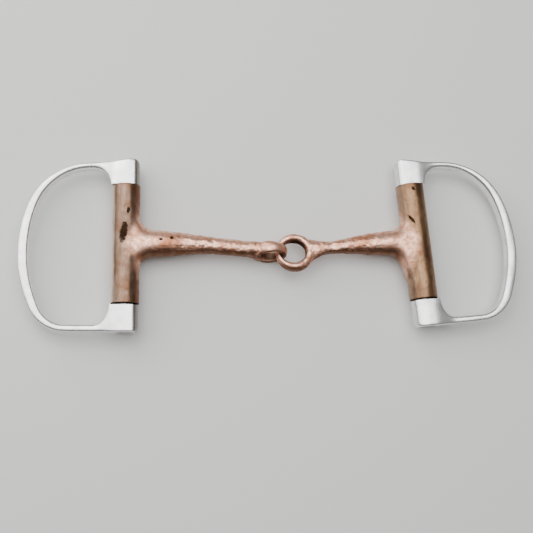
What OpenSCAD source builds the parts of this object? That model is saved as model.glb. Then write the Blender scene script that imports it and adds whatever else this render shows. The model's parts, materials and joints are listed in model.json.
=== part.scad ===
// Dee ring snaffle bit with a single-jointed copper mouthpiece.
// The bit lies flat: +X along the mouthpiece, +Y along the hinge pins, +Z up.
// A dee is drawn in its own frame: u outwards from its hinge pin, v along the pin, w up.

/* [Mouthpiece] */
// Distance between the hinge pins, measured along X
pin_span = 141.7; // [140:0.1:150]
// How far the right pin's middle sits above the left one's in Y
pin_rise = 4.6; // [3:0.1:6]
// Lean of the left pin from Y, its upper end towards -X
left_lean = 0.9; // [0:0.1:3]
// Lean of the right pin from Y, its upper end towards -X
right_lean = 5.6; // [4:0.1:7]
// Distance in X from the left pin to the middle of the left eye
left_reach = 69.1; // [68.5:0.1:70]
// Height in Y of the left eye's middle below the left pin's middle
left_drop = 1.7; // [1:0.1:2.5]

/* [Barrels] */
// Diameter of each barrel
barrel_d = 13.7; // [13.5:0.1:14.5]
// Length of each barrel
barrel_len = 57.2; // [56:0.1:57.5]
// Gap between the lugs of a dee, which leaves the barrel a little end play
lug_gap = 58; // [57.8:0.1:60]
// Space between a barrel and the lug that it sits up against
barrel_seat = 0.1; // [0.05:0.01:0.15]
// Radial clearance between a barrel's bore and its pin
pin_clearance = 0.06; // [0.03:0.01:0.09]

/* [Hinge pins] */
// Diameter of the pin
pin_d = 7; // [6:0.1:7.4]
// Diameter of the peened head, flush with the lug
pin_head_d = 8.6; // [8.2:0.1:9.4]
// Depth of the peened head's countersink
pin_head_h = 1.1; // [0.8:0.1:1.4]

/* [Cannons] */
// Diameter of the left cannon where it leaves the flare
left_root_d = 13.5; // [13:0.1:14]
// Diameter of the left cannon beside the eye
left_neck_d = 8.2; // [7.6:0.1:8.4]
// Diameter of the right cannon where it leaves the flare
right_root_d = 12.8; // [12.4:0.1:13.6]
// Diameter of the right cannon beside the eye
right_neck_d = 6.5; // [6.2:0.1:7]
// Length of the taper from root to neck
taper_len = 35; // [32:0.5:36]
// How far the left cannon bows towards +Y at mid-length
left_bow = 1.7; // [1:0.1:2]
// How far the right cannon bows towards +Y at mid-length
right_bow = 0.9; // [0.5:0.1:1.5]
// Height in Y at which the left cannon meets its eye, above the eye's middle
left_neck_lift = 0.5; // [0:0.1:0.6]
// Height in Y at which the right cannon meets its eye, above the eye's middle
right_neck_lift = 1.3; // [1:0.1:1.6]
// Length of the flares along the cannons
flare_len = 7.5; // [6.5:0.1:8]
// Rise of the left cannon's upper flare, along the barrel
left_flare_up = 8.5; // [7:0.1:9.5]
// Rise of the left cannon's lower flare
left_flare_down = 5; // [4:0.1:6]
// Rise of the right cannon's upper flare
right_flare_up = 8; // [7:0.1:9]
// Rise of the right cannon's lower flare
right_flare_down = 13; // [11:0.1:14]

/* [Eyes] */
// Wall of each eye where the two are linked
link_wall = 2.8; // [2.6:0.1:2.9]
// Gap between the two walls where they are linked
link_gap = 0.35; // [0.3:0.01:0.4]
// Depth of each eye's wall at the link
link_depth = 5; // [4.6:0.1:5.2]
// Radius of the left eye's hole
left_hole_r = 5.65; // [5.6:0.05:5.8]
// Radius of the right eye's outside
right_eye_r = 9.6; // [9.4:0.1:9.8]
// Half the length of the right eye's oval hole
right_hole_a = 5.95; // [5.8:0.05:6]
// Half the width of the right eye's oval hole
right_hole_b = 5.25; // [5.1:0.05:5.35]
// Depth of the right eye's wall away from the link
right_eye_depth = 6.4; // [6:0.1:6.6]
// Roll of both eyes about X, their upper sides towards +Y
eye_roll = 10; // [8:0.5:11]
// How far the right eye's middle sits below the left one's in Y
eye_drop = 0.2; // [0:0.1:0.6]

/* [Dees] */
// Height of the bow's top edge above the pin's middle, 6 mm out from the pin
bow_top = 40.3; // [39.5:0.1:40.6]
// Fall of the straight shoulder away from the pin
shoulder_fall = 3.2; // [2.5:0.1:4]
// Length of the straight shoulder
shoulder_len = 12; // [11:0.1:13]
// Radius of the upper corner
upper_r = 31.3; // [30:0.1:32]
// Turn of the upper corner
upper_turn = 66.6; // [66:0.1:67.5]
// Radius of the long outer side
side_r = 65; // [63:0.5:67]
// Turn of the long outer side
side_turn = 45.3; // [45:0.1:46]
// Radius of the lower corner
lower_r = 18.7; // [18:0.1:19.5]
// Width of the bow beside the upper lug
upper_w = 2.9; // [2.6:0.1:3.2]
// Width of the bow beside the lower lug
lower_w = 3.5; // [3.2:0.1:3.8]
// Width of the bow at its outer side
side_w = 5; // [4.6:0.1:5.4]
// Depth of the bow
bow_depth = 7; // [6.6:0.1:7.4]
// Radius of a lug where it wraps the pin
lug_r = 6.5; // [6.3:0.1:6.8]
// Depth of a lug between its flats
lug_depth = 10; // [9.6:0.1:10.4]
// Length of a lug along the pin
lug_len = 12.9; // [12.8:0.1:13.4]

/* [Hidden] */
$fn = 64;

steel = [0.80, 0.80, 0.81];
rivet_steel = [0.70, 0.70, 0.71];
copper = [0.74, 0.50, 0.40];

barrel_r = barrel_d / 2;
pin_r = pin_d / 2;
lug_in = lug_gap / 2;
lug_out = lug_in + lug_len;
lug_w = lug_depth / 2;
barrel_hi = lug_in - barrel_seat;
barrel_lo = barrel_hi - barrel_len;

// Places in the plane of the bit, from the left eye's middle
left_pin = [-left_reach, left_drop];
right_pin = [pin_span - left_reach, left_drop + pin_rise];
left_ring_r = left_hole_r + link_wall / 2;
left_tip = left_hole_r + link_wall;
right_eye = [left_hole_r - link_gap - link_wall + right_eye_r, -eye_drop];

function smooth(t) = let (c = min(1, max(0, t))) c * c * (3 - 2 * c);
// A quarter-ellipse fillet: full at t = 0, none at t = 1
function fillet(t) = t >= 1 ? 0 : 1 - sqrt(1 - pow(1 - max(0, t), 2));
function turned(p, a) = [p[0] * cos(a) - p[1] * sin(a), p[0] * sin(a) + p[1] * cos(a)];
// From the left eye's middle to the row's own frame
function placed(p) = [p[0] + home[0], p[1] + home[1], (len(p) > 2 ? p[2] : 0) + home[2]];

// A closed skin over rings of points, each ring with the same number of points
module loft(rings, closed = false) {
    n = len(rings[0]);
    m = len(rings);
    points = [for (ring = rings) each ring];
    sides = [
        for (i = [0:(closed ? m - 1 : m - 2)], j = [0:n - 1])
            let (a = i * n, b = (i + 1) % m * n, k = (j + 1) % n)
                each [[a + j, b + j, b + k], [a + j, b + k, a + k]]
    ];
    ends = closed ? [] : [[for (j = [0:n - 1]) j], [for (j = [n - 1:-1:0]) (m - 1) * n + j]];
    polyhedron(points, concat(sides, ends), convexity = 10);
}

// ---- Dees ----

corner_steps = 3;
// Rounded rectangle as [across, depth] points
function bar_section(half_w, half_d, r) = [
    for (q = [0:3], i = [0:corner_steps])
        let (a = 90 * q + 90 * i / corner_steps, sx = (q == 0 || q == 3) ? 1 : -1, sy = q < 2 ? 1 : -1)
            [sx * (half_w - r) + r * cos(a), sy * (half_d - r) + r * sin(a)]
];

// The bow's outer edge as [u, v, heading] along its run, as tangent arcs between two straights
lower_turn = 180 - shoulder_fall - upper_turn - side_turn;
bow_start = 6;
function stepped(p, r, h, turn) = [
    p[0] + r * (sin(h) - sin(h - turn)),
    p[1] + r * (cos(h - turn) - cos(h)),
    h - turn
];
shoulder_end = [
    bow_start + shoulder_len * cos(shoulder_fall),
    bow_top - shoulder_len * sin(shoulder_fall),
    -shoulder_fall
];
upper_end = stepped(shoulder_end, upper_r, shoulder_end[2], upper_turn);
side_end = stepped(upper_end, side_r, upper_end[2], side_turn);
lower_end = stepped(side_end, lower_r, side_end[2], lower_turn);
arc_steps = 12;
bow_runs = [
    [shoulder_end, upper_r, upper_turn],
    [upper_end, side_r, side_turn],
    [side_end, lower_r, lower_turn]
];
bow_arcs = [
    for (run = bow_runs)
        for (i = [0:arc_steps - 1])
            stepped(run[0], run[1], run[0][2], run[2] * i / arc_steps)
];

// A lug blends into the bow: its free end eases down to the bow's edge, and its inside by a fillet
blend_start = 6.7;
upper_blend = 9;
lower_blend = 7;
lug_corner = 1.2;
bow_corner = 1.3;
lug_edge = 0.4;
edge_growth = 0.1;
thinnest = 0.6;
slope_start = 4;
depth_slope = 10;
end_slope = 8;
function lug_depth_at(u) = u < 0 ? min(lug_w, sqrt(max(thinnest * thinnest, lug_r * lug_r - u * u)))
    : lug_w + (bow_depth / 2 - lug_w) * smooth((u - slope_start) / depth_slope);
function lug_section(u, edge, bow_w, blend, side) =
    let (
        reach = max(0, -u - lug_r + lug_corner) / lug_corner,
        end = lug_out - lug_corner * (1 - sqrt(1 - reach * reach)),
        outer = edge + (end - edge) * (1 - smooth((u - slope_start) / end_slope)),
        inner = edge - bow_w - (edge - bow_w - lug_in) * fillet((u - blend_start) / blend),
        mid = (outer + inner) / 2,
        corner = min(bow_corner, lug_edge + max(0, u - slope_start) * edge_growth)
    )
    [
        for (p = bar_section((outer - inner) / 2, lug_depth_at(u), corner))
            [u, side * (mid + p[0]), p[1]]
    ];
function bow_section(at, w) = [
    for (p = bar_section(w / 2, bow_depth / 2, bow_corner))
        [at[0] + (w / 2 - p[0]) * sin(at[2]), at[1] - (w / 2 - p[0]) * cos(at[2]), p[1]]
];
lug_stations = [-6.4, -6.2, -5.8, -5.2, -4.6, -3, 0, 3, 5, 6.7, 6.9, 7.3, 8, 9, 10.2, 11.6, 13, 14.4];
shoulder_station = 16;
upper_lug_rings = [
    for (u = [for (s = lug_stations) s, shoulder_station])
        lug_section(u, bow_top - (u - bow_start) * tan(shoulder_fall), upper_w, upper_blend, 1)
];
lower_lug_rings = [
    for (i = [len(lug_stations) - 1:-1:0])
        let (u = lug_stations[i])
            lug_section(u, -lower_end[1], lower_w, lower_blend, -1)
];
// Share of the outer side's width, full half-way along the three arcs
half_bow = arc_steps * 1.5;
function side_share(i) = i < half_bow ? smooth(i / half_bow) : 1 - smooth(i / half_bow - 1);
bow_rings = [
    for (i = [0:len(bow_arcs) - 1])
        let (end_w = i < half_bow ? upper_w : lower_w)
            bow_section(bow_arcs[i], end_w + (side_w - end_w) * side_share(i))
];
dee_rings = concat(upper_lug_rings, bow_rings, lower_lug_rings);

// ---- Where the row's origin lies: the middle of the bounding box in plan, on the ground ----

dee_outline = [for (ring = dee_rings, p = ring) [p[0], p[1]]];
left_outline = [for (p = dee_outline) left_pin + turned([-p[0], p[1]], left_lean)];
right_outline = [for (p = dee_outline) right_pin + turned(p, right_lean)];
outline_x = [for (p = concat(left_outline, right_outline)) p[0]];
outline_y = [for (p = concat(left_outline, right_outline)) p[1]];
left_ring_low = left_ring_r * cos(eye_roll)
    + sqrt(pow(link_wall / 2 * cos(eye_roll), 2) + pow(link_depth / 2 * sin(eye_roll), 2));
home = [
    -(min(outline_x) + max(outline_x)) / 2,
    -(min(outline_y) + max(outline_y)) / 2,
    left_ring_low
];

module at_left_pin() {
    translate(placed(left_pin)) rotate([0, 0, left_lean]) mirror([1, 0, 0]) children();
}

module at_right_pin() {
    translate(placed(right_pin)) rotate([0, 0, right_lean]) children();
}

// A hinge pin along v, peened out at both ends into the lugs' countersinks
module pin_solid() {
    translate([0, -lug_out, 0]) rotate([-90, 0, 0]) {
        cylinder(h = 2 * lug_out, r = pin_r);
        cylinder(h = pin_head_h, r1 = pin_head_d / 2, r2 = pin_r);
        translate([0, 0, 2 * lug_out - pin_head_h])
            cylinder(h = pin_head_h, r1 = pin_r, r2 = pin_head_d / 2);
    }
}

module dee_solid() {
    difference() {
        loft(dee_rings);
        pin_solid();
    }
}

// ---- Mouthpiece halves ----

section_steps = 24;
run_steps = 38;
eye_run = 9;
neck_round = 3.2;
web_run = 10;
root_at = 10.5;
flare_start = barrel_r - 0.8;
root_inset = 0.5;
// Rings from the pin's axis, deep in the barrel, to inside the eye's wall. The end's half height and
// half depth fit that wall, and the section turns with the eye as it comes to it.
function cannon_rings(pin, tip, root_d, neck_d, bow, flares, end_half, end_round) =
    let (
        along = tip - pin,
        length = norm(along),
        dir = along / length,
        side = [-dir[1], dir[0]] * sign(dir[0])
    )
    [
        for (i = [0:run_steps])
            let (
                s = length * (1 - cos(180 * i / run_steps)) / 2,
                r = (neck_d + (root_d - neck_d) * (1 - smooth((s - root_at) / taper_len))) / 2,
                near_eye = 1 - smooth((length - s) / eye_run),
                near_end = 1 - smooth((length - s) / end_round),
                flare = fillet((s - flare_start) / flare_len),
                half_y = r + (end_half[0] - neck_d / 2) * near_end,
                half_z = min(r, barrel_r - root_inset) + (end_half[1] - neck_d / 2) * near_eye,
                twist = eye_roll * near_eye,
                middle = pin + dir * s + side * bow * sin(180 * s / length)
            )
            [
                for (j = [0:section_steps - 1])
                    let (
                        a = 360 * j / section_steps,
                        y = (half_y + flares[cos(a) > 0 ? 0 : 1] * flare) * cos(a),
                        z = half_z * sin(a) * sign(dir[0]),
                        across = y * cos(twist) + z * sin(twist),
                        place = middle + side * across
                    )
                        [place[0], place[1], z * cos(twist) - y * sin(twist)]
            ]
    ];

module barrel_blank() {
    translate([0, barrel_lo, 0]) rotate([-90, 0, 0]) cylinder(h = barrel_len, r = barrel_r);
}

module barrel_bore() {
    translate([0, -lug_gap / 2, 0]) rotate([-90, 0, 0]) cylinder(h = lug_gap, r = pin_r + pin_clearance);
}

// Each cannon ends inside its eye's wall, with a section that fits the wall there
left_end_in = 0.85;
left_eye_start = [left_end_in - left_ring_r, left_neck_lift];
left_end = [link_depth / 2 + 1.3, left_tip * 0.62];
right_end_in = 3.4;
right_eye_start = right_eye + [right_eye_r - right_end_in, right_neck_lift];
right_end = [right_eye_r / 2 + 0.7, right_eye_depth / 2 - 0.6];

module left_eye_ring() {
    rotate([-eye_roll, 0, 0]) rotate([90, 0, 0]) rotate_extrude()
        polygon([
            for (i = [0:23])
                [left_ring_r + link_wall / 2 * cos(15 * i), link_depth / 2 * sin(15 * i)]
        ]);
}

// The right eye is thin and shallow where it is linked, and fuller all round
eye_steps = 40;
wall_steps = 14;
hole_shift = link_wall + right_hole_a - right_eye_r;
right_eye_rings = [
    for (i = [0:eye_steps - 1])
        let (
            a = 360 * i / eye_steps,
            outer = right_eye_r * [cos(a), sin(a)],
            inner = [right_hole_a * cos(a) + hole_shift, right_hole_b * sin(a)],
            middle = (outer + inner) / 2,
            half = (outer - inner) / 2,
            depth = link_depth / 2 + (right_eye_depth - link_depth) / 2 * smooth((1 + cos(a)) * 0.9)
        )
        [
            for (j = [0:wall_steps - 1])
                let (b = -360 * j / wall_steps, p = middle + half * cos(b))
                    [p[0], p[1], depth * sin(b)]
        ]
];

module right_eye_ring() {
    translate([right_eye[0], right_eye[1], 0]) rotate([-eye_roll, 0, 0]) loft(right_eye_rings, closed = true);
}

// ---- Nodes ----

module left_dee_bow() {
    color(steel) at_left_pin() dee_solid();
}

module left_hinge_pin() {
    color(rivet_steel) at_left_pin() pin_solid();
}

module left_cannon() {
    color(copper) difference() {
        union() {
            at_left_pin() barrel_blank();
            translate(home) loft(cannon_rings(
                left_pin, left_eye_start, left_root_d, left_neck_d, left_bow,
                [left_flare_up, left_flare_down], left_end, neck_round
            ));
            translate(home) left_eye_ring();
        }
        at_left_pin() barrel_bore();
    }
}

module right_cannon() {
    color(copper) difference() {
        union() {
            at_right_pin() barrel_blank();
            translate(home) loft(cannon_rings(
                right_pin, right_eye_start, right_root_d, right_neck_d, right_bow,
                [right_flare_up, right_flare_down], right_end, web_run
            ));
            translate(home) right_eye_ring();
        }
        at_right_pin() barrel_bore();
    }
}

module right_hinge_pin() {
    color(rivet_steel) at_right_pin() pin_solid();
}

module right_dee_bow() {
    color(steel) at_right_pin() dee_solid();
}

left_dee_bow();
left_hinge_pin();
left_cannon();
right_cannon();
right_hinge_pin();
right_dee_bow();
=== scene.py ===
"""A dee ring snaffle bit: worn copper mouthpiece between polished steel dees."""

import json
import math

import bmesh
import bpy
from mathutils import Matrix, Vector


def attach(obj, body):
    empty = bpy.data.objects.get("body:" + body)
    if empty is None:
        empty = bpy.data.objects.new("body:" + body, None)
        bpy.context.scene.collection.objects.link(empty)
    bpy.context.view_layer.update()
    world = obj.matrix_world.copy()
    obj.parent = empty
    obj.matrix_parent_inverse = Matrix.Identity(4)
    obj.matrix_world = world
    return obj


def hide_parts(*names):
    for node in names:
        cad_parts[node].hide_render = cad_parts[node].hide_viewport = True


MM = 0.001

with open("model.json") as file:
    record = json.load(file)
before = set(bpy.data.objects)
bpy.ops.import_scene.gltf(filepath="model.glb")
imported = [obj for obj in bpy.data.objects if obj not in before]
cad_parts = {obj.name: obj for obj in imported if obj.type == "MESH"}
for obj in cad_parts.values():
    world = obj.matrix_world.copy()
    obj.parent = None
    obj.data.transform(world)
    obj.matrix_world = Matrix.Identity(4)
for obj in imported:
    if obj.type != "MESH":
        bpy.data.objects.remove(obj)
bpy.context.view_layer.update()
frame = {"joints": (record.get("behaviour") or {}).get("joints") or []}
joints = {j["name"]: j for j in frame["joints"]}
left_pin = Vector(joints["left_dee_hinge"]["pos_m"])
right_pin = Vector(joints["right_dee_hinge"]["pos_m"])
link = Vector(joints["mouth_fold"]["pos_m"])
LEFT_LEAN = math.radians(0.9)
RIGHT_LEAN = math.radians(5.6)
EYE_ROLL = math.radians(10)


# ---- Hand tools ----

def eased(t):
    c = min(1, max(0, t))
    return c * c * (3 - 2 * c)


def fillet(t):
    """A quarter-ellipse: full at t = 0, none at t = 1."""
    return 0 if t >= 1 else 1 - math.sqrt(1 - (1 - max(0, t)) ** 2)


def put_down():
    """Leaves edit mode, with nothing selected."""
    if bpy.context.object and bpy.context.object.mode != "OBJECT":
        bpy.ops.object.mode_set(mode="OBJECT")
    bpy.ops.object.select_all(action="DESELECT")


def take(piece):
    put_down()
    piece.select_set(True)
    bpy.context.view_layer.objects.active = piece


def edit_points():
    bpy.ops.object.mode_set(mode="EDIT")
    bpy.ops.mesh.select_mode(type="VERT")
    bpy.ops.mesh.select_all(action="SELECT")


def selected_points():
    mesh = bmesh.from_edit_mesh(bpy.context.object.data)
    mesh.verts.index_update()
    return [v.index for v in mesh.verts if v.select]


def pick(test=None, among=None):
    """Selects the points whose place passes the test, out of those named, and nothing else."""
    mesh = bmesh.from_edit_mesh(bpy.context.object.data)
    mesh.verts.ensure_lookup_table()
    wanted = mesh.verts if among is None else [mesh.verts[i] for i in among]
    for v in mesh.verts:
        v.select_set(False)
    for v in wanted:
        if test is None or test(v.co):
            v.select_set(True)
    mesh.select_flush_mode()
    bmesh.update_edit_mesh(bpy.context.object.data)


def turn(angle, axis, centre):
    """Turns what is selected. With no window, the tool's own angle runs the other way."""
    bpy.ops.transform.rotate(value=-angle, orient_axis=axis, center_override=centre)


def move(step):
    bpy.ops.transform.translate(value=step)


def extrude(step):
    bpy.ops.mesh.extrude_region_move(TRANSFORM_OT_translate={"value": step})


def modifier(piece, kind, **settings):
    """Adds a modifier with its settings and applies it."""
    take(piece)
    m = piece.modifiers.new(kind.lower(), kind)
    for key, value in settings.items():
        setattr(m, key, value)
    bpy.ops.object.modifier_apply(modifier=m.name)


def cut(piece, tool, operation="DIFFERENCE", keep_tool=False):
    modifier(piece, "BOOLEAN", object=tool, operation=operation, solver="EXACT")
    if not keep_tool:
        bpy.data.objects.remove(tool)


def copy_of(piece, name):
    """A copy with its own mesh."""
    take(piece)
    bpy.ops.object.duplicate()
    twin = bpy.context.object
    twin.name = name
    twin.data.name = name
    return twin


def settle(piece, mirror, lean, place):
    """Turns a piece made about the origin onto its pin, so that its object stays at the origin."""
    take(piece)
    edit_points()
    if mirror:
        bpy.ops.transform.resize(value=(-1, 1, 1), center_override=(0, 0, 0))
    turn(lean, "Z", (0, 0, 0))
    move(place)
    bpy.ops.mesh.select_all(action="SELECT")
    bpy.ops.mesh.normals_make_consistent(inside=False)
    put_down()


def smooth_faces(piece, angle):
    take(piece)
    bpy.ops.object.shade_smooth_by_angle(angle=math.radians(angle))


# ---- Dees, made about the right pin: u outwards along X, v along the pin on Y, w up ----

LUG_R = 6.5 * MM
LUG_HALF_DEPTH = 5 * MM
LUG_IN = 29 * MM
LUG_OUT = 41.9 * MM
PIN_R = 3.5 * MM
HEAD_R = 4.3 * MM
HEAD_DEPTH = 1.1 * MM
BARREL_R = 6.85 * MM
BARREL_LO = -28.3 * MM
BARREL_HI = 28.9 * MM
TRIM = 1 * MM
BOW_HALF_DEPTH = 3.5 * MM
UPPER_W = 2.9 * MM
LOWER_W = 3.5 * MM
SIDE_W = 5 * MM
SHOULDER_TOP = 40.3 * MM
SHOULDER_FALL = math.radians(3.2)
SHOULDER_LEN = 12 * MM
BOW_START = 6 * MM
BLEND_START = 6.7 * MM
# Softened edges of the bar: tight on its outside, fuller round its window
OUTER_SOFT = 1.1 * MM
INNER_SOFT = 1.6 * MM
UPPER_BLEND = 9 * MM
LOWER_BLEND = 7.5 * MM
# The bow's outside: radii from the shoulder to the lower lug, and the turns of the first two
BOW_RADII = (31.3 * MM, 65 * MM, 18.7 * MM)
UPPER_TURN = math.radians(66.6)
SIDE_TURN = math.radians(45.3)
ARC_STEPS = 12
# Extra metal inside each lug, which the cutter for the barrel's gap takes away
LUG_SPARE = 1.8 * MM
# How far that cutter reaches past the barrel's own radius
SLEEVE_ROOM = 0.9 * MM
LUG_CORNER = 3 * MM
# A higher number leaves a crisper edge between a lug's flats and its round side
EDGE_WEAR = 9
CROWN = 0.3 * MM
CROWN_FALL = 0.45 * MM
CROWN_REACH = 4 * MM
# Where the lug's depth eases into the bow's, and where each lug's end eases into its shoulder
DEPTH_EASE_START, DEPTH_EASE = 2 * MM, 12 * MM
UPPER_EASE_START, UPPER_EASE = -5 * MM, 14 * MM
LOWER_EASE_START, LOWER_EASE = 4 * MM, 8 * MM
END_INSET = 0.7 * MM
END_CROWN = 0.12 * MM
WAVE_SIZE = 11 * MM
WAVE_HEIGHT = 0.22 * MM


def lug_u_places(blend):
    """Places along u: round the mouth side, over the flats, then down the fillet."""
    places = []
    low, high = math.asin(INNER_SOFT / LUG_R), math.asin(LUG_HALF_DEPTH / LUG_R)
    for i in range(8):
        places.append(-LUG_R * math.cos(low + (high - low) * i / 7))
    places += [places[-1] + 0.35 * MM, -2 * MM, 1 * MM, 4 * MM, 6 * MM]
    for i in range(9):
        places.append(BLEND_START + blend * (1 - math.cos(math.radians(11.25 * i))))
    return places


def lug_half_depth(u):
    if u < 0:
        round_side = math.sqrt(max(0, LUG_R ** 2 - u ** 2))
        crowned = LUG_HALF_DEPTH + CROWN - CROWN_FALL * (u / CROWN_REACH) ** 2
        # the two surfaces meet in a worn edge
        return (round_side ** -EDGE_WEAR + crowned ** -EDGE_WEAR) ** (-1 / EDGE_WEAR)
    towards_bow = eased((u - DEPTH_EASE_START) / DEPTH_EASE)
    return LUG_HALF_DEPTH + (BOW_HALF_DEPTH - LUG_HALF_DEPTH) * towards_bow


def mouth_corner(u):
    """How far a lug's end falls away as it rounds into its mouth side."""
    reach = min(1, max(0, LUG_CORNER - LUG_R - u) / LUG_CORNER)
    return LUG_CORNER * (1 - math.sqrt(1 - reach ** 2))


def upper_edge(u):
    edge = SHOULDER_TOP - (u - BOW_START) * math.tan(SHOULDER_FALL)
    return edge + (LUG_OUT - edge) * (1 - eased((u - UPPER_EASE_START) / UPPER_EASE)) - mouth_corner(u)


def lug_inner_edge(u, edge, width, blend):
    start = LUG_IN - LUG_SPARE
    return edge - width - (edge - width - start) * fillet((u - BLEND_START) / blend)


def along_arc(place, radius, heading, swing):
    x, y = place
    return (x + radius * (math.sin(heading) - math.sin(heading - swing)),
            y + radius * (math.cos(heading - swing) - math.cos(heading)))


def bow_arcs():
    """The bow's outside as three tangent arcs: start, radius, first heading and swing."""
    arcs = []
    place = (BOW_START + SHOULDER_LEN * math.cos(SHOULDER_FALL),
             SHOULDER_TOP - SHOULDER_LEN * math.sin(SHOULDER_FALL))
    heading = -SHOULDER_FALL
    swings = (UPPER_TURN, SIDE_TURN, math.pi - SHOULDER_FALL - UPPER_TURN - SIDE_TURN)
    for radius, swing in zip(BOW_RADII, swings):
        arcs.append((place, radius, heading, swing))
        place = along_arc(place, radius, heading, swing)
        heading -= swing
    return arcs, place


def dee_stations():
    """The bar's run as (outer edge x, y, heading, width, half depth)."""
    stations = []
    for u in lug_u_places(UPPER_BLEND):
        top = upper_edge(u)
        straight = SHOULDER_TOP - (u - BOW_START) * math.tan(SHOULDER_FALL)
        inner = lug_inner_edge(u, straight, UPPER_W, UPPER_BLEND)
        stations.append((u, top, 0, top - inner, lug_half_depth(u)))
    arcs, end = bow_arcs()
    for a, (place, radius, heading, swing) in enumerate(arcs):
        for i in range(ARC_STEPS):
            share = (a * ARC_STEPS + i) / (1.5 * ARC_STEPS)
            end_w = UPPER_W if share < 1 else LOWER_W
            width = end_w + (SIDE_W - end_w) * (eased(share) if share < 1 else 1 - eased(share - 1))
            x, y = along_arc(place, radius, heading, swing * i / ARC_STEPS)
            stations.append((x, y, heading - swing * i / ARC_STEPS, width, BOW_HALF_DEPTH))
    low = -end[1]
    for u in reversed(lug_u_places(LOWER_BLEND)):
        bottom = low + (LUG_OUT - low) * (1 - eased((u - LOWER_EASE_START) / LOWER_EASE)) - mouth_corner(u)
        inner = lug_inner_edge(u, low, LOWER_W, LOWER_BLEND)
        stations.append((u, -bottom, -math.pi, bottom - inner, lug_half_depth(u)))
    return stations


def soften_corners(half_width, half_depth):
    """Rounds the start plane's corners, the outside's tighter than the window's."""
    for side, soft in ((1, OUTER_SOFT), (-1, INNER_SOFT)):
        pick(lambda co: co.y * side > 0.99 * half_width and abs(co.z) > 0.99 * half_depth)
        bpy.ops.mesh.bevel(offset=soft * 0.999, segments=3, affect="VERTICES")


def forge_bar():
    """One bar, drawn from lug to lug by extruding its end along the run."""
    stations = dee_stations()
    x, y, heading, width, depth = stations[0]
    put_down()
    bpy.ops.mesh.primitive_plane_add(size=1, location=(0, 0, 0))
    bar = bpy.context.object
    edit_points()
    turn(math.pi / 2, "Y", (0, 0, 0))
    bpy.ops.transform.resize(value=(1, width, 2 * depth), center_override=(0, 0, 0))
    soften_corners(width / 2, depth)
    bpy.ops.mesh.select_all(action="SELECT")
    move((x, y - width / 2, 0))
    for nx, ny, next_heading, next_width, next_depth in stations[1:]:
        # the end face goes on, turned and widened to the next place
        extrude((nx - x, ny - y, 0))
        ring = selected_points()
        place = Vector((nx, ny, 0))
        if abs(next_heading - heading) > 1e-9:
            turn(next_heading - heading, "Z", place)
        inward = Vector((math.sin(next_heading), -math.cos(next_heading), 0))
        middle = place + inward * width / 2
        if abs(next_width - width) > 1e-9:
            pick(lambda co: (co - middle).dot(inward) > 0, ring)
            move(inward * (next_width - width))
        if abs(next_depth - depth) > 1e-9:
            for side in (1, -1):
                pick(lambda co: co.z * side > 0, ring)
                move((0, 0, side * (next_depth - depth)))
        pick(None, ring)
        x, y, heading, width, depth = nx, ny, next_heading, next_width, next_depth
    # both ends are crowned a little, where the lug wraps round its pin
    for side in (1, -1):
        tip = -LUG_R * math.cos(math.asin(INNER_SOFT / LUG_R))
        pick(lambda co: co.x < tip + 0.01 * MM and co.y * side > 0)
        bpy.ops.mesh.inset(thickness=END_INSET)
        move((-END_CROWN, 0, 0))
    bpy.ops.mesh.select_all(action="SELECT")
    bpy.ops.mesh.normals_make_consistent(inside=False)
    put_down()
    modifier(bar, "SUBSURF", levels=2, render_levels=2)
    # buffing by hand leaves broad, shallow waves
    polish = bpy.data.textures.new("buffed_waves", "CLOUDS")
    polish.noise_scale = WAVE_SIZE
    polish.noise_depth = 0
    modifier(bar, "DISPLACE", texture=polish, texture_coords="LOCAL", strength=WAVE_HEIGHT, mid_level=0.5)
    return bar


def pin_rod(length, radius, head):
    """A rod on the pin's axis, flared at both ends where it was peened."""
    put_down()
    bpy.ops.mesh.primitive_cylinder_add(vertices=72, radius=radius, depth=length)
    rod = bpy.context.object
    edit_points()
    turn(math.pi / 2, "X", (0, 0, 0))
    if head:
        for side in (1, -1):
            pick(lambda co: co.y * side > 0)
            extrude((0, 0, 0))
            pick(lambda co: co.y * side > length / 2 - 0.01 * MM)
            bpy.ops.mesh.remove_doubles(threshold=1e-7)
            move((0, -side * (length / 2 - LUG_OUT + HEAD_DEPTH), 0))
            extrude((0, side * HEAD_DEPTH, 0))
            grow = HEAD_R / radius
            bpy.ops.transform.resize(value=(grow, 1, grow), center_override=(0, 0, 0))
            extrude((0, side * (length / 2 - LUG_OUT), 0))
        bpy.ops.mesh.select_all(action="SELECT")
        bpy.ops.mesh.normals_make_consistent(inside=False)
    put_down()
    return rod


def make_dees():
    """The dee and its pin are made once, then mirrored for the left."""
    bar = forge_bar()
    pin = pin_rod(2 * (LUG_OUT + 2 * MM), PIN_R, True)
    sleeve = pin_rod(2 * LUG_IN, BARREL_R + SLEEVE_ROOM, False)
    core = pin_rod(2 * LUG_IN + 2 * MM, PIN_R - 0.01 * MM, False)
    blank = copy_of(bar, "pin_end")
    cut(blank, sleeve, keep_tool=True)
    cut(bar, sleeve)
    cut(blank, pin, "INTERSECT", keep_tool=True)
    cut(bar, pin)
    cut(blank, core, "UNION")
    dees = []
    for side, mirror, lean, place in (
        ("right", False, RIGHT_LEAN, right_pin),
        ("left", True, LEFT_LEAN, left_pin),
    ):
        for part, made, body, node_name, slot in (
            ("dee_ring", bar, "dee", "dee_bow", "polished_steel"),
            ("rivet_pin", blank, "dee", "hinge_pin", "pin_steel"),
        ):
            piece = copy_of(made, side + "_" + part)
            settle(piece, mirror, lean, place)
            smooth_faces(piece, 35)
            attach(piece, side + "_" + body)
            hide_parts(side + "_" + node_name)
            dees.append(piece)
    bpy.data.objects.remove(bar)
    bpy.data.objects.remove(blank)
    return dees


# ---- Mouthpiece halves ----

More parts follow.
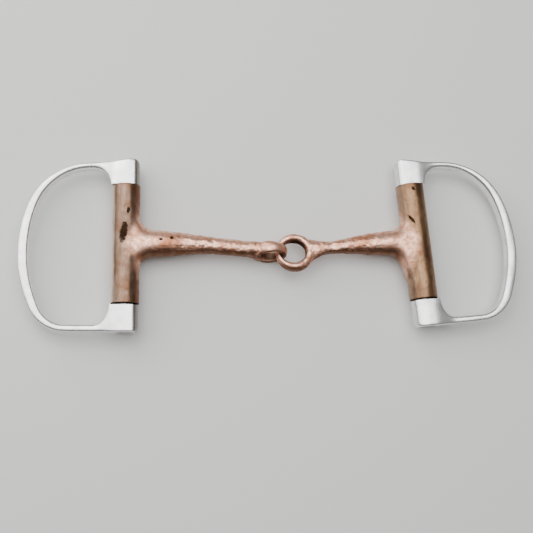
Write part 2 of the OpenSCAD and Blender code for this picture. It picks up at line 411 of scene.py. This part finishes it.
LINK_WALL = 2.8 * MM
LEFT_HOLE_R = 5.65 * MM
LEFT_RING_R = LEFT_HOLE_R + LINK_WALL / 2
EYE_HALF_DEPTH = 2.5 * MM
RIGHT_EYE_R = 9.6 * MM
RIGHT_HOLE_A = 5.95 * MM
RIGHT_HOLE_B = 5.25 * MM
RIGHT_HALF_DEPTH = 3.2 * MM
LEFT_HOLE_AXIS = Vector((0, math.cos(EYE_ROLL), -math.sin(EYE_ROLL)))
RIGHT_HOLE_AXIS = Vector((0, math.sin(EYE_ROLL), math.cos(EYE_ROLL)))
LINK_GAP = 0.35 * MM
EYE_DROP = 0.2 * MM
EYE_SLICES = 72
EYE_SIDES = 28
# Metal added to the left eye's depth near the neck, all round that side and at the neck itself
NEAR_DEPTH = 0.6 * MM
NECK_DEPTH = 1.1 * MM
RING_WALL = 4 * MM
TAPER_START = 10.5 * MM
TAPER_LEN = 35 * MM
EYE_RUN = 9 * MM
FLARE_SINK = 0.8 * MM
FLARE_LEN = 7.5 * MM
ROOT_SINK = 0.3 * MM
CANNON_STEPS = 38
# The cutter that faces off a barrel's end
CUTTER_R = 8.2 * MM
CUTTER_LEN = 6 * MM
RIM_EASE = 0.25 * MM
PIN_CLEARANCE = 0.06 * MM
VOXEL = 0.3 * MM
right_eye = link + Vector((LEFT_HOLE_R - LINK_GAP - LINK_WALL + RIGHT_EYE_R, -EYE_DROP, 0))


def draw_cannon(pin, tip, root_d, neck_d, bow, rise, end_half, end_round):
    """A bar drawn from inside the barrel to inside the eye by extruding a round face along it."""
    along = tip - pin
    length = along.length
    way = along.normalized()
    side = Vector((-way.y, way.x, 0)) * (1 if way.x > 0 else -1)
    put_down()
    bpy.ops.mesh.primitive_circle_add(vertices=24, radius=1 * MM, fill_type="NGON")
    bar = bpy.context.object
    edit_points()
    turn(math.pi / 2, "Y", (0, 0, 0))
    centre = Vector((0, 0, 0))
    high = low = deep = 1 * MM
    twist = 0
    for i in range(CANNON_STEPS + 1):
        s = length * (1 - math.cos(math.pi * i / CANNON_STEPS)) / 2
        r = (neck_d + (root_d - neck_d) * (1 - eased((s - TAPER_START) / TAPER_LEN))) / 2
        near_eye = 1 - eased((length - s) / EYE_RUN)
        near_end = 1 - eased((length - s) / end_round)
        flare = fillet((s - BARREL_R + FLARE_SINK) / FLARE_LEN)
        half_y = r + (end_half[0] - neck_d / 2) * near_end
        next_high, next_low = half_y + rise[0] * flare, half_y + rise[1] * flare
        next_deep = min(r, BARREL_R - ROOT_SINK) + (end_half[1] - neck_d / 2) * near_eye
        place = pin + way * s + side * bow * math.sin(math.pi * s / length)
        if i:
            extrude(place - centre)
        else:
            move(place - centre)
        ring = selected_points()
        turn(twist, "X", place)
        bpy.ops.transform.resize(value=(1, 1, next_deep / deep), center_override=place)
        for test, grow in ((1, next_high / high), (-1, next_low / low)):
            pick(lambda co: (co.y - place.y) * test > 0.001 * MM, ring)
            bpy.ops.transform.resize(value=(1, grow, 1), center_override=place)
        pick(None, ring)
        twist = EYE_ROLL * near_eye
        turn(-twist, "X", place)
        centre, high, low, deep = place, next_high, next_low, next_deep
    bpy.ops.mesh.select_all(action="SELECT")
    bpy.ops.mesh.normals_make_consistent(inside=False)
    put_down()
    return bar


def turn_barrel(pin, lean):
    """The sleeve that turns on the hinge pin, a little long, to be trimmed when it is fused."""
    put_down()
    bpy.ops.mesh.primitive_cylinder_add(
        vertices=256, radius=BARREL_R, depth=BARREL_HI - BARREL_LO + 2 * TRIM)
    barrel = bpy.context.object
    edit_points()
    turn(math.pi / 2, "X", (0, 0, 0))
    move((0, (BARREL_HI + BARREL_LO) / 2, 0))
    turn(lean, "Z", (0, 0, 0))
    move(pin)
    put_down()
    return barrel


def trim_end(arm, end, side, pin, lean):
    """Faces off one end of a barrel and eases its rim, with a hollow-faced cutter."""
    face_r = BARREL_R - RIM_EASE
    put_down()
    bpy.ops.mesh.primitive_cylinder_add(vertices=96, radius=CUTTER_R, depth=CUTTER_LEN)
    cutter = bpy.context.object
    edit_points()
    hollow = CUTTER_R - face_r
    turn(math.pi / 2, "X", (0, 0, 0))
    move((0, end + side * (CUTTER_LEN / 2 - hollow), 0))
    pick(lambda co: (co.y - end) * side < 0)
    extrude((0, side * hollow, 0))
    bpy.ops.transform.resize(value=(face_r / CUTTER_R, 1, face_r / CUTTER_R), center_override=(0, 0, 0))
    put_down()
    settle(cutter, False, lean, pin)
    cut(arm, cutter)


def slices_of(eye, count):
    """The points of a ring, slice by slice round its axis."""
    mesh = bmesh.from_edit_mesh(eye.data)
    by_slice = {}
    for v in mesh.verts:
        at = round(math.atan2(v.co.y, v.co.x) / (2 * math.pi) * count) % count
        by_slice.setdefault(at, []).append(v.index)
    return by_slice


def bend_left_eye():
    """A ring whose wall grows deeper on the neck's side, where the right eye never comes."""
    put_down()
    bpy.ops.mesh.primitive_torus_add(
        major_radius=LEFT_RING_R, minor_radius=LINK_WALL / 2,
        major_segments=EYE_SLICES, minor_segments=EYE_SIDES)
    eye = bpy.context.object
    edit_points()
    for at, ring in slices_of(eye, EYE_SLICES).items():
        ray = math.cos(2 * math.pi * at / EYE_SLICES)
        depth = (EYE_HALF_DEPTH + NEAR_DEPTH * eased((0.5 - ray) / 0.8)
                 + NECK_DEPTH * eased((-ray - 0.55) / 0.45))
        pick(None, ring)
        bpy.ops.transform.resize(value=(1, 1, 2 * depth / LINK_WALL), center_override=(0, 0, 0))
    bpy.ops.mesh.select_all(action="SELECT")
    turn(-math.pi / 2 - EYE_ROLL, "X", (0, 0, 0))
    move(link)
    put_down()
    return eye


def bend_right_eye():
    """A ring, worn thin where it is linked: each slice is scaled and moved to its own wall."""
    put_down()
    bpy.ops.mesh.primitive_torus_add(
        major_radius=RIGHT_EYE_R - RING_WALL / 2, minor_radius=RING_WALL / 2,
        major_segments=EYE_SLICES, minor_segments=EYE_SIDES)
    eye = bpy.context.object
    edit_points()
    shift = LINK_WALL + RIGHT_HOLE_A - RIGHT_EYE_R
    for at, ring in slices_of(eye, EYE_SLICES).items():
        angle = 2 * math.pi * at / EYE_SLICES
        ray = Vector((math.cos(angle), math.sin(angle), 0))
        outer = ray * RIGHT_EYE_R
        inner = Vector((RIGHT_HOLE_A * ray.x + shift, RIGHT_HOLE_B * ray.y, 0))
        was = ray * (RIGHT_EYE_R - RING_WALL / 2)
        thin = (outer - inner).length / RING_WALL
        depth = EYE_HALF_DEPTH + (RIGHT_HALF_DEPTH - EYE_HALF_DEPTH) * eased((1 + ray.x) * 0.9)
        pick(None, ring)
        bpy.ops.transform.resize(value=(thin, thin, 2 * depth / RING_WALL), center_override=was)
        move((outer + inner) / 2 - was)
    bpy.ops.mesh.select_all(action="SELECT")
    turn(-EYE_ROLL, "X", (0, 0, 0))
    move(right_eye)
    put_down()
    return eye


def grade(piece, name, weight_at, bands=12):
    """A vertex group whose weight follows weight_at(place), in bands."""
    take(piece)
    edit_points()
    bpy.ops.mesh.select_all(action="DESELECT")
    bpy.ops.object.vertex_group_add()
    piece.vertex_groups[-1].name = name
    mesh = bmesh.from_edit_mesh(piece.data)
    banded = {}
    for v in mesh.verts:
        band = round(weight_at(v.co) * bands)
        banded.setdefault(band, []).append(v.index)
    for band in sorted(banded):
        if band > 0:
            pick(None, banded[band])
            bpy.context.scene.tool_settings.vertex_group_weight = band / bands
            bpy.ops.object.vertex_group_assign()
    put_down()


def hammer(piece, group, name, size, height, level=0.6):
    """Uneven hammered surface: clouds of a real size in millimetres, mostly inwards."""
    texture = bpy.data.textures.new(name, "CLOUDS")
    texture.noise_scale = size * MM
    texture.noise_depth = 1
    modifier(piece, "DISPLACE", texture=texture, texture_coords="LOCAL", strength=height * MM,
             mid_level=level, vertex_group=group)


def cast_arm(name, parts, pin, lean, eye, toward_mouth):
    """Fuses barrel, cannon and eye into one casting, softens where they meet and bores it."""
    true_barrel = copy_of(parts[0], "true_barrel")
    put_down()
    for part in parts:
        part.select_set(True)
    bpy.context.view_layer.objects.active = parts[0]
    bpy.ops.object.join()
    arm = bpy.context.object
    arm.name = name
    arm.data.name = name
    take(arm)
    bpy.ops.object.transform_apply(location=True, rotation=True, scale=True)
    modifier(arm, "REMESH", mode="VOXEL", voxel_size=VOXEL)
    axis = Vector((-math.sin(lean), math.cos(lean), 0))
    out = Vector((math.cos(lean), math.sin(lean), 0)) * toward_mouth

    def off_barrel(co):
        """How far a point lies from the pin's axis towards the mouth."""
        return (co - pin).dot(out)

    def in_casting_fillet(co):
        u, v = off_barrel(co), (co - pin).dot(axis)
        at_root = eased((u + 3 * MM) / (3 * MM)) * (1 - eased((u - 12 * MM) / (6 * MM)))
        at_root *= 1 - eased((abs(v) - 20 * MM) / (4 * MM))
        at_eye = 1 - eased((abs((co - eye).length - 9.5 * MM) - 3 * MM) / (2.5 * MM))
        at_eye *= 1 - eased(((co.x - eye.x) * toward_mouth + 7.5 * MM) / (5 * MM))
        return max(at_root, at_eye)

    def clear_of_link(co):
        return eased(((eye.x - co.x) * toward_mouth + 2 * MM) / (7 * MM))

    def hammered(co):
        return eased((off_barrel(co) - 6 * MM) / (6 * MM)) * (0.2 + 0.8 * clear_of_link(co))

    def bitten(co):
        return eased((off_barrel(co) - 18 * MM) / (9 * MM)) * clear_of_link(co)

    def on_barrel(co):
        u, v = off_barrel(co), (co - pin).dot(axis)
        return max(1 - eased((u + 4 * MM) / (3 * MM)), eased((abs(v) - 21 * MM) / (3 * MM)) * (u < 7.2 * MM))

    grade(arm, "barrel", on_barrel)
    grade(arm, "fillets", in_casting_fillet)
    grade(arm, "hammered", hammered)
    grade(arm, "bitten", bitten)
    grade(arm, "worn", lambda co: 1 - hammered(co))
    modifier(arm, "SMOOTH", factor=0.5, iterations=110, vertex_group="fillets")
    modifier(arm, "SMOOTH", factor=0.5, iterations=5)
    modifier(arm, "SHRINKWRAP", target=true_barrel, wrap_method="NEAREST_SURFACEPOINT", vertex_group="barrel")
    bpy.data.objects.remove(true_barrel)
    hammer(arm, "hammered", name + "_blows", 6, 0.4)
    hammer(arm, "bitten", name + "_bites", 2.4, 0.5, 0.62)
    hammer(arm, "hammered", name + "_pitting", 1.1, 0.1)
    hammer(arm, "worn", name + "_wear", 7, 0.03, 0.5)
    for end, side in ((BARREL_HI, 1), (BARREL_LO, -1)):
        trim_end(arm, end, side, pin, lean)
    bore = pin_rod(2 * LUG_IN + 4 * MM, PIN_R + PIN_CLEARANCE, False)
    settle(bore, False, lean, pin)
    cut(arm, bore)
    smooth_faces(arm, 40)
    return arm


def make_arms():
    left_tip = link + Vector((0.85 * MM - LEFT_RING_R, 0.5 * MM, 0))
    right_tip = right_eye + Vector((RIGHT_EYE_R - 3.4 * MM, 1.3 * MM, 0))
    left = cast_arm(
        "left_mouth_arm",
        [turn_barrel(left_pin, LEFT_LEAN),
         draw_cannon(left_pin, left_tip, root_d=13.5 * MM, neck_d=8.2 * MM, bow=1.7 * MM,
                     rise=(8.5 * MM, 5 * MM),
                     end_half=(EYE_HALF_DEPTH + 2.1 * MM, 0.64 * (LEFT_HOLE_R + LINK_WALL)),
                     end_round=3.2 * MM),
         bend_left_eye()],
        left_pin, LEFT_LEAN, link, 1)
    right = cast_arm(
        "right_mouth_arm",
        [turn_barrel(right_pin, RIGHT_LEAN),
         draw_cannon(right_pin, right_tip, root_d=12.8 * MM, neck_d=6.5 * MM, bow=0.9 * MM,
                     rise=(8 * MM, 13 * MM),
                     end_half=(6 * MM, RIGHT_HALF_DEPTH - 0.4 * MM),
                     end_round=10 * MM),
         bend_right_eye()],
        right_pin, RIGHT_LEAN, right_eye, -1)
    for side, arm in (("left", left), ("right", right)):
        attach(arm, side + "_arm")
        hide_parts(side + "_cannon")
    return left, right


# ---- Finishes ----

def colour(code):
    """An sRGB hex colour as linear values."""
    parts = [int(code[i:i + 2], 16) / 255 for i in (1, 3, 5)]
    return tuple(c / 12.92 if c <= 0.04045 else ((c + 0.055) / 1.055) ** 2.4 for c in parts) + (1,)


def add(tree, kind, inputs=None, **settings):
    """Adds a node. An input is a value, or the output that is linked to it."""
    new = tree.nodes.new(kind)
    for key, value in settings.items():
        setattr(new, key, value)
    for key, value in (inputs or {}).items():
        if isinstance(value, bpy.types.NodeSocket):
            tree.links.new(value, new.inputs[key])
        else:
            new.inputs[key].default_value = value
    return new


def new_finish(name):
    finish = bpy.data.materials.new(name)
    finish.use_nodes = True
    tree = finish.node_tree
    tree.nodes.clear()
    shader = add(tree, "ShaderNodeBsdfPrincipled", {"Metallic": 1.0})
    add(tree, "ShaderNodeOutputMaterial", {"Surface": shader.outputs[0]})
    place = add(tree, "ShaderNodeTexCoord").outputs["Object"]
    return finish, tree, shader, place


def blend(tree, share, first, second):
    """Mixes two colours by share."""
    mix = add(tree, "ShaderNodeMix", {0: share, 6: first, 7: second}, data_type="RGBA")
    return mix.outputs[2]


def spread(tree, value, low, high, to_low=0.0, to_high=1.0):
    """A value's range stretched or turned over, and held within it."""
    ranged = add(tree, "ShaderNodeMapRange",
                 {0: value, 1: low, 2: high, 3: to_low, 4: to_high}, interpolation_type="SMOOTHSTEP")
    return ranged.outputs[0]


def reckon(tree, operation, first, second):
    return add(tree, "ShaderNodeMath", {0: first, 1: second}, operation=operation).outputs[0]


def grain(tree, place, size, detail=4.0, rough=0.55, warp=0.0, stretch=(1, 1, 1)):
    """Noise whose blotches are about this many millimetres across."""
    fitted = add(tree, "ShaderNodeMapping", {"Vector": place, "Scale": stretch}).outputs[0]
    noise = add(tree, "ShaderNodeTexNoise", {
        "Vector": fitted, "Scale": 1 / (size * MM), "Detail": detail, "Roughness": rough, "Distortion": warp})
    return noise.outputs["Fac"]


def polished_steel(name, pin, cheek):
    # stainless steel, cast and buffed by hand: bright, with soft haze and fine rubbing scratches
    finish, tree, shader, place = new_finish(name)
    haze = grain(tree, place, 6, 3, 0.6)
    rubbed = grain(tree, place, 0.9, 2, 0.7, 0.3, (1, 0.06, 1))
    base = blend(tree, spread(tree, haze, 0.35, 0.7), colour("#f4f3f1"), colour("#e2e2e1"))
    # painted reflection: the lug's rounded cheek towards the mouth is painted brown-grey, for a dark
    # reflection there
    facing = add(tree, "ShaderNodeSeparateXYZ", {0: add(tree, "ShaderNodeTexCoord").outputs["Normal"]})
    from_pin = reckon(tree, "SUBTRACT", add(tree, "ShaderNodeSeparateXYZ", {0: place}).outputs[0], pin.x)
    off_pin = add(tree, "ShaderNodeMath", {0: from_pin}, operation="ABSOLUTE").outputs[0]
    near = spread(tree, off_pin, 12 * MM, 9 * MM)
    painted_dark_reflection = reckon(tree, "MULTIPLY", spread(tree, facing.outputs[0], 0.35, 0.75), near)
    base = blend(tree, reckon(tree, "MULTIPLY", painted_dark_reflection, cheek), base, colour("#7c7067"))
    tree.links.new(base, shader.inputs["Base Color"])
    polish = reckon(tree, "ADD", spread(tree, haze, 0.3, 0.75, 0.2, 0.3),
                    spread(tree, rubbed, 0.55, 0.75, 0.0, 0.09))
    tree.links.new(polish, shader.inputs["Roughness"])
    bump = add(tree, "ShaderNodeBump", {"Height": rubbed, "Strength": 0.12, "Distance": 0.03 * MM})
    tree.links.new(bump.outputs[0], shader.inputs["Normal"])
    return finish


def peened_steel():
    # mild steel rivet, hammered over and filed flush: duller than the dee, with small dents
    finish, tree, shader, place = new_finish("peened_rivet_steel")
    dents = grain(tree, place, 1.1, 2, 0.5)
    base = blend(tree, spread(tree, dents, 0.3, 0.7), colour("#b4b1ad"), colour("#8f8c88"))
    tree.links.new(base, shader.inputs["Base Color"])
    tree.links.new(spread(tree, dents, 0.3, 0.7, 0.28, 0.5), shader.inputs["Roughness"])
    bump = add(tree, "ShaderNodeBump", {"Height": dents, "Strength": 0.5, "Distance": 0.12 * MM})
    tree.links.new(bump.outputs[0], shader.inputs["Normal"])
    return finish


def flaw(tree, place, centre, half_long, half_wide, lean, ragged):
    """A mask for one ragged mark on the surface, by its place, half sizes and lean."""
    local = add(tree, "ShaderNodeMapping", {
        "Vector": place, "Location": centre, "Rotation": (0, 0, lean),
        "Scale": (half_wide, half_long, 4 * MM)}, vector_type="TEXTURE").outputs[0]
    apart = add(tree, "ShaderNodeVectorMath", {0: local}, operation="LENGTH").outputs["Value"]
    torn = reckon(tree, "ADD", apart, reckon(tree, "MULTIPLY", reckon(tree, "SUBTRACT", ragged, 0.5), 1.4))
    return spread(tree, torn, 1.05, 0.75)


def worn_copper(name, pin, lean, toward_mouth, eye, hole_axis, hole_r, edge_highlight_paint, hues, marks):
    # old copper: the barrel rubbed smooth and brown by hand and strap, the mouthpiece bitten matt and pink
    finish, tree, shader, place = new_finish(name)
    facing = add(tree, "ShaderNodeSeparateXYZ", {
        0: add(tree, "ShaderNodeTexCoord").outputs["Normal"]})
    on_pin = add(tree, "ShaderNodeMapping", {
        "Vector": place, "Location": tuple(pin), "Rotation": (0, 0, lean)},
                 vector_type="TEXTURE").outputs[0]
    axes = add(tree, "ShaderNodeSeparateXYZ", {0: on_pin})
    off = reckon(tree, "MULTIPLY", axes.outputs[0], float(toward_mouth))
    wobble = grain(tree, place, 5, 3, 0.5)
    edge = reckon(tree, "ADD", off, reckon(tree, "MULTIPLY", reckon(tree, "SUBTRACT", wobble, 0.5), 8 * MM))
    along_pin = add(tree, "ShaderNodeMath", {0: axes.outputs[1]}, operation="ABSOLUTE").outputs[0]
    edge = reckon(tree, "SUBTRACT", edge, reckon(tree, "MULTIPLY", along_pin, 0.4))
    mouth = spread(tree, edge, -2 * MM, 4 * MM)

    broad = grain(tree, place, 9, 3, 0.5, 0.4)
    patch = grain(tree, place, 2.6, 5, 0.6, 0.6)
    fine = grain(tree, place, 0.7, 4, 0.65)
    streak = grain(tree, on_pin, 2.2, 3, 0.55, 0.3, (1, 0.2, 1))

    barrel = blend(tree, spread(tree, streak, 0.35, 0.68), colour(hues[0]), colour(hues[1]))
    barrel = blend(tree, spread(tree, broad, 0.45, 0.7), barrel, colour("#735440"))
    # painted shade: the barrel's flank turned towards +X is painted darker brown
    shaded_flank = spread(tree, facing.outputs[0], 0.5, 0.95)
    barrel = blend(tree, reckon(tree, "MULTIPLY", shaded_flank, 0.75), barrel, colour("#6b3d20"))
    # painted highlight: a pale strip is painted down the barrel's flank towards -X
    streaky = reckon(tree, "ADD", facing.outputs[0], reckon(tree, "MULTIPLY", streak, 0.3))
    painted_highlight = spread(tree, streaky, -0.45, -0.75)
    barrel = blend(tree, reckon(tree, "MULTIPLY", painted_highlight, edge_highlight_paint), barrel, colour("#fbe6d8"))
    pink = blend(tree, spread(tree, patch, 0.36, 0.64), colour("#f4c5ad"), colour("#d69a7d"))
    pink = blend(tree, spread(tree, broad, 0.5, 0.75), pink, colour("#bc7d5d"))
    base = blend(tree, mouth, barrel, pink)
    # painted shade: the mouthpiece's faces turned towards -Y, its underside, are painted dark brown; brown
    # tarnish lies in its hollows, and dark in the pits
    patchy = reckon(tree, "ADD", facing.outputs[1], reckon(tree, "MULTIPLY", patch, 0.5))
    painted_underside_shade = spread(tree, patchy, 0.0, -0.5)
    painted_underside_shade = reckon(tree, "MULTIPLY", painted_underside_shade, mouth)
    base = blend(tree, reckon(tree, "MULTIPLY", painted_underside_shade, 0.9), base, colour("#553521"))
    hollow = spread(tree, patch, 0.62, 0.76)
    base = blend(tree, reckon(tree, "MULTIPLY", hollow, 0.5), base, colour("#6b4a36"))
    speck = reckon(tree, "MULTIPLY", spread(tree, fine, 0.68, 0.76), mouth)
    base = blend(tree, reckon(tree, "MULTIPLY", speck, 0.7), base, colour("#3a2a1e"))
    up_barrel = reckon(tree, "SUBTRACT", axes.outputs[1], (BARREL_HI + BARREL_LO) / 2)
    from_middle = add(tree, "ShaderNodeMath", {0: up_barrel}, operation="ABSOLUTE").outputs[0]
    half_barrel = (BARREL_HI - BARREL_LO) / 2
    rim = spread(tree, from_middle, half_barrel - 0.8 * MM, half_barrel - 0.1 * MM)
    base = blend(tree, reckon(tree, "MULTIPLY", rim, 0.55), base, colour("#6a4a34"))
    # painted shade: black is painted on the barrel's end faces, in the gap against the lug, and inside the
    # eye's hole
    seam = spread(tree, from_middle, half_barrel - 0.2 * MM, half_barrel - 0.02 * MM)
    from_eye = add(tree, "ShaderNodeVectorMath", {0: place, 1: tuple(eye)}, operation="SUBTRACT").outputs[0]
    across = add(tree, "ShaderNodeVectorMath", {0: from_eye, 1: tuple(hole_axis)},
                 operation="CROSS_PRODUCT").outputs[0]
    off_axis = add(tree, "ShaderNodeVectorMath", {0: across}, operation="LENGTH").outputs["Value"]
    inside = spread(tree, off_axis, hole_r + 0.9 * MM, hole_r + 0.1 * MM)
    painted_gap_and_hole_shade = reckon(tree, "MAXIMUM", seam, reckon(tree, "MULTIPLY", inside, 0.85))
    base = blend(tree, painted_gap_and_hole_shade, base, colour("#1e140d"))
    pits = None
    for u, v, half_long, half_wide, mark_lean in marks:
        mark = flaw(tree, on_pin, (u * toward_mouth * MM, v * MM, 6 * MM), half_long * MM, half_wide * MM,
                    math.radians(mark_lean), fine)
        pits = mark if pits is None else reckon(tree, "MAXIMUM", pits, mark)
    base = blend(tree, reckon(tree, "MULTIPLY", pits, 0.9), base, colour("#241a12"))
    tree.links.new(base, shader.inputs["Base Color"])

    dull = blend(tree, mouth, (0.34, 0.34, 0.34, 1), (0.38, 0.38, 0.38, 1))
    dull = reckon(tree, "ADD", dull, reckon(tree, "MULTIPLY", painted_gap_and_hole_shade, 0.3))
    dull = reckon(tree, "ADD", dull, spread(tree, patch, 0.35, 0.75, -0.05, 0.16))
    tree.links.new(reckon(tree, "ADD", dull, reckon(tree, "MULTIPLY", pits, 0.3)), shader.inputs["Roughness"])

    height = reckon(tree, "ADD", reckon(tree, "MULTIPLY", patch, mouth), reckon(tree, "MULTIPLY", fine, 0.06))
    height = reckon(tree, "SUBTRACT", height, pits)
    bump = add(tree, "ShaderNodeBump", {"Height": height, "Strength": 0.4, "Distance": 0.2 * MM})
    tree.links.new(bump.outputs[0], shader.inputs["Normal"])
    return finish


# Marks on the copper: how far towards the mouth and up the pin, half length, half width, lean
LEFT_MARKS = (
    (-0.6, 5, 5.6, 1.9, -9), (1.6, 15.6, 1.6, 0.8, -8),
    (16.9, 1.7, 0.7, 1.1, 0), (21.9, 2.6, 0.9, 1.2, 0))
RIGHT_MARKS = ((0, 25.8, 1.1, 0.8, 35), (2.6, 10.5, 2.6, 0.8, 33))


def give(piece, finish):
    piece.data.materials.clear()
    piece.data.materials.append(finish)


# ---- Camera, floor and light ----

AIM_FROM_LINK = Vector((-1.7, -7.2, 0)) * MM
YAW = math.radians(6.1)
PITCH = math.radians(11)
DISTANCE = 0.42
LENS = 59


def camera_and_stage():
    aim = link + AIM_FROM_LINK
    back = Vector((-math.sin(YAW), -math.sin(PITCH) * math.cos(YAW), math.cos(PITCH) * math.cos(YAW)))
    data = bpy.data.cameras.new("camera")
    data.lens = LENS
    data.sensor_width = 36
    data.clip_start = 0.01
    camera = bpy.data.objects.new("camera", data)
    bpy.context.scene.collection.objects.link(camera)
    right = (-back).cross(Vector((0, 1, 0))).normalized()
    up = right.cross(-back)
    camera.matrix_world = Matrix((
        (right.x, up.x, back.x, 0), (right.y, up.y, back.y, 0), (right.z, up.z, back.z, 0), (0, 0, 0, 1)))
    camera.location = aim + back * DISTANCE
    bpy.context.scene.camera = camera

    put_down()
    bpy.ops.mesh.primitive_plane_add(size=3)
    floor = bpy.context.object
    floor.name = "floor"
    paper = bpy.data.materials.new("pale_paper")
    paper.use_nodes = True
    paper.node_tree.nodes["Principled BSDF"].inputs["Base Color"].default_value = colour("#dcdcda")
    paper.node_tree.nodes["Principled BSDF"].inputs["Roughness"].default_value = 0.9
    give(floor, paper)

    for name, place, aim_at, width, depth, power in (
        ("overhead_softbox", (0.02, 0.14, 0.8), (0, 0, 0), 0.8, 0.7, 6),
        ("left_softbox", (-0.5, 0.35, 0.5), (0, 0, 0), 1, 0.8, 7),
    ):
        light = bpy.data.lights.new(name, "AREA")
        light.energy = power
        light.shape = "RECTANGLE"
        light.size = width
        light.size_y = depth
        lamp = bpy.data.objects.new(name, light)
        lamp.location = place
        lamp.rotation_euler = (Vector(aim_at) - Vector(place)).to_track_quat("-Z", "Y").to_euler()
        bpy.context.scene.collection.objects.link(lamp)
    world = bpy.data.worlds.new("studio")
    bpy.context.scene.world = world
    world.use_nodes = True
    world.node_tree.nodes["Background"].inputs[0].default_value = (0.25, 0.25, 0.255, 1)


camera_and_stage()
right_dee, right_rivet, left_dee, left_rivet = make_dees()
left_arm, right_arm = make_arms()
rivet = peened_steel()
for piece, finish in (
    (left_dee, polished_steel("polished_steel_left", left_pin, 0.9)),
    (right_dee, polished_steel("polished_steel_right", right_pin, 0.25)),
    (left_rivet, rivet), (right_rivet, rivet),
    (left_arm, worn_copper("worn_copper_left", left_pin, LEFT_LEAN, 1, link, LEFT_HOLE_AXIS, LEFT_HOLE_R, 0.8,
                           ("#8c7261", "#735c4c"), LEFT_MARKS)),
    (right_arm, worn_copper("worn_copper_right", right_pin, RIGHT_LEAN, -1, right_eye, RIGHT_HOLE_AXIS,
                            RIGHT_HOLE_B, 0.1, ("#96765a", "#7d6046"), RIGHT_MARKS)),
):
    give(piece, finish)

put_down()
